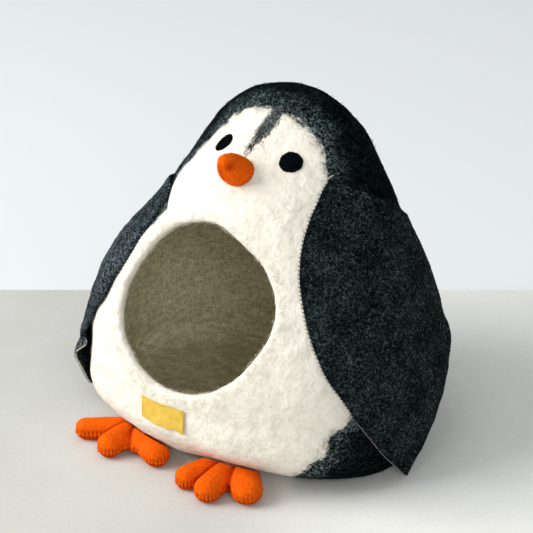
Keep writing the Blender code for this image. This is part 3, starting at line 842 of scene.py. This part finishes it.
def build_beak(finish, fibres):
    root = front_point(*BEAK_BASE)
    out = unit(np.array(BEAK_DIRECTION))
    up = unit(np.array([0.0, 0.0, 1.0]) - out[2] * out)
    side = np.cross(up, out)
    row = np.linspace(8, 0, 90)[:, None]
    turn = np.linspace(0, TURN, 181)[None]
    radius, along = smooth(BEAK_PROFILE, 1, row), smooth(BEAK_PROFILE, 2, row)
    shape = 1 + sum(size * bump(turn, at, wide) for at, wide, size in BEAK_BULGES)
    # the felt is folded into a cone and sewn in a ridge down its lower right side
    ridge = bump(turn, 222, 0.18) * 0.02 - bump(turn, 196, 0.2) * 0.12 - bump(turn, 247, 0.2) * 0.10
    low = np.exp(-(along / 0.11) ** 2)
    pleat = np.clip(np.cos(turn * 17 + 0.8 * np.sin(turn * 3)), 0, 1) ** 4
    puff = 1 + ridge * np.sin(along * 2.9) ** 0.5 - 0.10 * pleat * low
    dimple = np.exp(-((along - 0.8) / 0.09) ** 2) * bump(turn, 325, 0.7)
    puff = puff + 0.02 * np.sin(3 * turn + 5 * along) - 0.13 * dimple
    ring = (BEAK_RADIUS * radius * shape * puff)[..., None] * (np.cos(turn)[..., None] * side
                                                               + np.sin(turn)[..., None] * up)
    foot = reach(root + ring - 30 * out, out, far=75.0)
    foot = foot + out * swell(foot)[..., None]
    level = root + ring + (BEAK_LENGTH * along)[..., None] * out
    level = level + BEAK_LEAN * (along ** 2)[..., None] * (up - side)
    share = np.clip(along / 0.35, 0, 1)[..., None]
    share = share * share * (3 - 2 * share)
    rise = (0.3 + BEAK_LENGTH * along)[..., None] * out
    face = foot + rise + (level - foot - rise) * share
    face = face + unit(ring) * (0.45 * waves(face, 9, 4.0) + 0.15 * waves(face, 3, 6.0))[..., None]
    face[:, -1] = face[:, 0]
    close = face[-1] + (face[-1].mean(0) - face[-1]) * np.linspace(0, 1, 8)[1:, None, None]
    close = reach(close - 30 * out, out, far=75.0) + 0.2 * out
    rows = np.concatenate([face, close])
    flat = np.zeros(close.shape[:2])
    # the pleats that the base stitches pull in, darkened with painted shade
    stitch = np.concatenate([pleat * low + 0 * row, flat])
    # painted shade: darker in the ditches beside the sewn ridge, round the pleated base and in the
    # dimple
    ditch = (bump(turn, 200, 0.16) + bump(turn, 246, 0.18)) * np.sin(np.clip(along, 0, 1) * 3) ** 2
    painted_fold_shade = np.concatenate([np.clip(ditch * 0.6 + low * 0.5 + dimple, 0, 1), flat])
    beak = laid("beak_felt", rows, finish, {"stitch": stitch, "painted_fold_shade": painted_fold_shade})
    start, n, _, _ = scattered(face, normals(face, ring + 1e-6), BEAK_FIBRES)
    return beak, fuzz("beak_fibres", start, n, 3.2, 0.09, fibres)


def add_ball(bm, centre, axes, turn):
    made = bmesh.ops.create_uvsphere(bm, u_segments=32, v_segments=18, radius=MM)["verts"]
    bmesh.ops.scale(bm, vec=Vector(axes), verts=made)
    bmesh.ops.rotate(bm, cent=(0, 0, 0), matrix=turn, verts=made)
    bmesh.ops.translate(bm, vec=Vector(centre) * MM, verts=made)


def joined_foot(name, finish):
    """A foot before it is sewn: its pad and toes, joined by a fine even mesh."""
    (heel_x, heel_y, *pad), toes = FEET[name]
    high = (FOOT_HEIGHT + SOLE_SINK) / 2
    bm = bmesh.new()
    add_ball(bm, (heel_x, heel_y, pad[2] - SOLE_SINK), pad, Matrix.Identity(3))
    for root_x, root_y, tip_x, tip_y, half in toes:
        toe = bmesh.new()
        way = Vector((tip_x - root_x, tip_y - root_y, 0)).normalized()
        turn = Matrix.Rotation(math.atan2(way.y, way.x), 3, "Z")
        low = high * min(1.0, half / TOE_FULL)
        end = (tip_x - way.x * half, tip_y - way.y * half, low - SOLE_SINK)
        add_ball(toe, end, (half, half, low), turn)
        root = max(half, TOE_FULL)
        add_ball(toe, (root_x, root_y, high - SOLE_SINK - 1.5), (root, root, high - 0.5), turn)
        inner = bmesh.ops.convex_hull(toe, input=toe.verts)["geom_interior"]
        bmesh.ops.delete(toe, geom=[v for v in inner if isinstance(v, bmesh.types.BMVert)])
        hull = bpy.data.meshes.new("toe")
        toe.to_mesh(hull)
        toe.free()
        bm.from_mesh(hull)
        bpy.data.meshes.remove(hull)
    mesh = bpy.data.meshes.new(name)
    bm.to_mesh(mesh)
    bm.free()
    obj = shown(name + "_felt", mesh, finish)
    remesh = obj.modifiers.new("joined", "REMESH")
    remesh.mode, remesh.voxel_size = "VOXEL", FOOT_VOXEL * MM
    obj.data = bpy.data.meshes.new_from_object(
        obj.evaluated_get(bpy.context.evaluated_depsgraph_get()))
    obj.modifiers.clear()
    bpy.data.meshes.remove(mesh)
    return obj


def foot_marks(name, p):
    """Stitches and painted fold shade at each point of a foot, and how far they push the felt out.
    """
    stitch = push = np.zeros(len(p))
    near = []
    band = np.clip((p[:, 2] - 2) / 3, 0, 1) * np.clip((17.5 - p[:, 2]) / 6, 0, 1)
    above = p[:, 2] - SEAM_HEIGHT
    lip = np.exp(-(above / 1.3) ** 2) - 0.5 * np.exp(-((above - 3.2) / 1.5) ** 2)
    for root_x, root_y, tip_x, tip_y, half in FEET[name][1]:
        way = unit(np.array([tip_x - root_x, tip_y - root_y], float))
        from_end = p[:, :2] - (np.array([tip_x, tip_y]) - way * half)
        u, w = from_end @ way, from_end @ np.array([-way[1], way[0]])
        far = np.where(u > 0, np.hypot(u, w), np.abs(w)) / half
        long = np.hypot(tip_x - root_x, tip_y - root_y) - half
        near.append(np.where(u < -long, np.hypot(u + long, w) / half, far))
        # how far round the toe's edge each point is, and whether it is on that edge
        length = np.where(u > 0, half * np.arctan2(w, u), np.sign(w) * (half * math.pi / 2 - u))
        beside = np.clip((far - 0.66) / 0.16, 0, 1) * (far < 1.25)
        beside = beside * np.clip((u + long * 0.8) / 6, 0, 1)
        # stitch dimples, pressed in and darkened with painted shade
        pull = np.clip(np.cos(TURN * length / FOOT_STITCH), 0, 1) ** 3
        stitch = np.maximum(stitch, pull * band * beside)
        push = push + LIP[name] * lip * beside - 0.4 * band * beside
    near = np.sort(np.array(near), axis=0)
    # the crease between toes is pressed in and darkened with painted shade
    crease = np.exp(-((near[1] - near[0]) / 0.22) ** 2) * np.clip((p[:, 2] - 3) / 6, 0, 1)
    crease = crease * (near[0] < 1.4)
    # painted shade below the sewn edge, towards the floor
    under = 0.7 * np.clip((1 - above) / 4, 0, 1)
    return {"stitch": stitch, "painted_fold_shade": crease + under}, push - 1.5 * stitch - 2.0 * crease


def build_foot(name, finish, fibres):
    """A stuffed foot, sat on the floor and against the body."""
    foot = joined_foot(name, finish)
    bm = bmesh.new()
    bm.from_mesh(foot.data)
    for _ in range(4):
        bmesh.ops.smooth_vert(bm, verts=bm.verts, factor=0.5, use_axis_x=True,
                              use_axis_y=True, use_axis_z=True)
    bm.normal_update()
    p = np.array([v.co for v in bm.verts]) / MM
    n = np.array([v.normal for v in bm.verts])
    marks, push = foot_marks(name, p)
    push = push + 0.35 * waves(p, 11, 1.3) + 0.2 * waves(p, 3.5, 2.3)
    p = p + n * push[:, None]
    p[:, 2] = np.maximum(p[:, 2], 0.0)
    caught = inside(p, FOOT_CLEAR)
    p[caught] = reach(p[caught], AHEAD, 120, FOOT_CLEAR)
    layers = {key: bm.verts.layers.float.new(key) for key in marks}
    for at, (vert, place) in enumerate(zip(bm.verts, p.tolist())):
        vert.co = Vector(place) * MM
        for key, values in marks.items():
            vert[layers[key]] = values[at]
    bm.to_mesh(foot.data)
    bm.free()
    dressed(foot.data, finish)
    spots = random.choice(np.flatnonzero((p[:, 2] > 1.5) & ~caught), FOOT_FIBRES)
    return foot, fuzz(name + "_fibres", p[spots], n[spots], 3.2, 0.10, fibres)


def ride(slot, node, piece, *others):
    """A piece stands for a node of the part, and the others come with it."""
    for each in (piece, *others):
        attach(each, "root")
    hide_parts(node)


def build_penguin():
    body = body_finish("felted_wool_body")
    fibres = fibre_finish("loose_wool_fibres")
    orange_hair = plain_wool("loose_orange_fibres", ORANGE, ORANGE_LIGHT)
    thread = plain_wool("black_thread", (0.004, 0.005, 0.006), (0.015, 0.018, 0.02), 0.6, 0.2)
    pale = plain_wool("cream_thread", (0.62, 0.58, 0.5), (0.8, 0.77, 0.7), 0.6, 0.2)

    ride("felt_cream", "shell", *build_shell(body, fibres))
    for name in WINGS:
        # painted light: the right wing gets a lighter, bluer copy of the left wing's felt
        felt = charcoal_finish("charcoal_felt_" + name[5:], WING_GREY_SHARE_AND_PAINTED_LIGHT[name], WING_GREY_TONE_AND_PAINTED_LIGHT[name])
        wing, *sewn = build_wing(name, felt, fibres, thread, pale)
        ride("felt_charcoal_" + name[5:], name, wing, *sewn)
    black = plain_wool("black_felt", (0.0010, 0.0018, 0.0022), (0.007, 0.010, 0.012))
    for name in EYE_PLACES:
        ride("felt_black_" + name[4:], name, *build_eye(name, black))
    ribbon = ribbon_finish("yellow_ribbon")
    tacking = plain_wool("yellow_thread", (0.7, 0.42, 0.06), (0.9, 0.62, 0.15), 0.6, 0.2)
    label, stitches = build_label(ribbon, tacking)
    ride("cloth_yellow", "label", label, stitches)
    beak, hair = build_beak(orange_finish("orange_felt_beak"), orange_hair)
    ride("felt_orange_beak", "beak", beak, hair)
    for name in FEET:
        foot, hair = build_foot(name, orange_finish("orange_felt_" + name), orange_hair)
        ride("felt_orange_" + name, name, foot, hair)


# ---- studio, in metres ----
AZIMUTH, ELEVATION = math.radians(35.28), math.radians(25.7)
TARGET = Vector((0.00257, 0.00182, 0.18665))
DISTANCE = 1.7
FOCAL, FRAME = 1499.93, 533.0  # focal length and width of the picture, in pixels
# from the target to the camera, and to the right of the picture
BACK = Vector((math.sin(AZIMUTH) * math.cos(ELEVATION), -math.cos(AZIMUTH) * math.cos(ELEVATION),
               math.sin(ELEVATION)))
RIGHT = Vector((math.cos(AZIMUTH), math.sin(AZIMUTH), 0.0))
WALL_FAR = 0.3135  # how far behind the origin the tone of the wall begins
WALL, WALL_GLOW = (0.40, 0.42, 0.43), (0.43, 0.445, 0.45)
# colours of the floor on the left and on the right, where it is paler: painted light that lifts the
# shadow falling to the right of the piece
FLOOR_PALE = (0.61, 0.61, 0.58), (0.90, 0.90, 0.86)
FLOOR_DEEP = (0.53, 0.53, 0.50), (0.80, 0.80, 0.76)
SKY, SKY_STRENGTH = (0.93, 0.97, 1.0, 1.0), 0.37
LIT = Vector((0, 0, 0.15))  # the lights face this point
# name; metres along RIGHT, along BACK and up; size, watts and colour
LIGHTS = (
    ("key", -3.1, 0.35, 1.9, 2.4, 150, (1.0, 0.985, 0.96)),
    ("top", -0.5, 0.0, 2.4, 1.4, 8, (0.97, 0.99, 1.0)),
    ("front", 0.3, 2.4, 0.2, 1.0, 14, (1.0, 0.99, 0.97)),
)


def aimed(obj, place, target):
    obj.location = place
    obj.rotation_mode = "QUATERNION"
    obj.rotation_quaternion = (target - place).to_track_quat("-Z", "Y")
    bpy.context.scene.collection.objects.link(obj)


def floor_finish(name):
    """A pale floor with a few smudges, paler to the right as painted light, and the wall's even
    tone far behind the piece.
    """
    m = Finish(name, 0.75, 0.2)
    ahead = Vector((-BACK.x, -BACK.y, 0.0)).normalized()
    beyond = m.towards(ahead).ease(WALL_FAR - 0.002, WALL_FAR + 0.002)
    # painted light: the floor's colour grows paler to the right, lifting the shadow there
    painted_light_right = m.towards(RIGHT).ease(-0.08, 0.14)
    smudge = m.cloud(140, 5.0, 0.6, shift=1.0).ease(0.3, 0.75)
    grain = m.cloud(2.6, 3.0, 0.75, shift=2.0).ease(0.42, 0.75)
    pale, deep = m.mixed(painted_light_right, *FLOOR_PALE), m.mixed(painted_light_right, *FLOOR_DEEP)
    colour = m.mixed(beyond, m.mixed((smudge * 0.55 + grain * 0.7).clip(), pale, deep), WALL)
    plug(m.shader.inputs["Emission Color"], m.mixed(beyond, (0.0, 0.0, 0.0), WALL_GLOW))
    m.shader.inputs["Emission Strength"].default_value = 1.0
    return m.done(colour, grain * (1 - beyond), 0.05)


def studio():
    camera = bpy.data.cameras.new("camera")
    camera.sensor_width = 36.0
    camera.lens = FOCAL / FRAME * camera.sensor_width
    camera.clip_start, camera.clip_end = 0.05, 50.0
    view = bpy.data.objects.new("camera", camera)
    aimed(view, TARGET + BACK * DISTANCE, TARGET)
    bpy.context.scene.camera = view

    bm = bmesh.new()
    bmesh.ops.create_grid(bm, x_segments=1, y_segments=1, size=8.0)
    mesh = bpy.data.meshes.new("floor")
    bm.to_mesh(mesh)
    bm.free()
    floor = shown("floor", mesh, floor_finish("pale_floor"))

    world = bpy.data.worlds.new("studio")
    bpy.context.scene.world = world
    world.use_nodes = True
    sky = world.node_tree.nodes["Background"]
    sky.inputs["Color"].default_value = SKY
    sky.inputs["Strength"].default_value = SKY_STRENGTH
    for name, right, back, up, size, power, colour in LIGHTS:
        light = bpy.data.lights.new(name, "AREA")
        light.shape = "SQUARE"
        light.size, light.energy, light.color = size, power, colour
        place = Vector((0, 0, up)) + RIGHT * right + BACK * back
        aimed(bpy.data.objects.new(name, light), place, LIT)
    settings = bpy.context.scene.view_settings
    settings.view_transform = "Standard"
    settings.look = "None"


build_penguin()
studio()
bpy.context.view_layer.update()
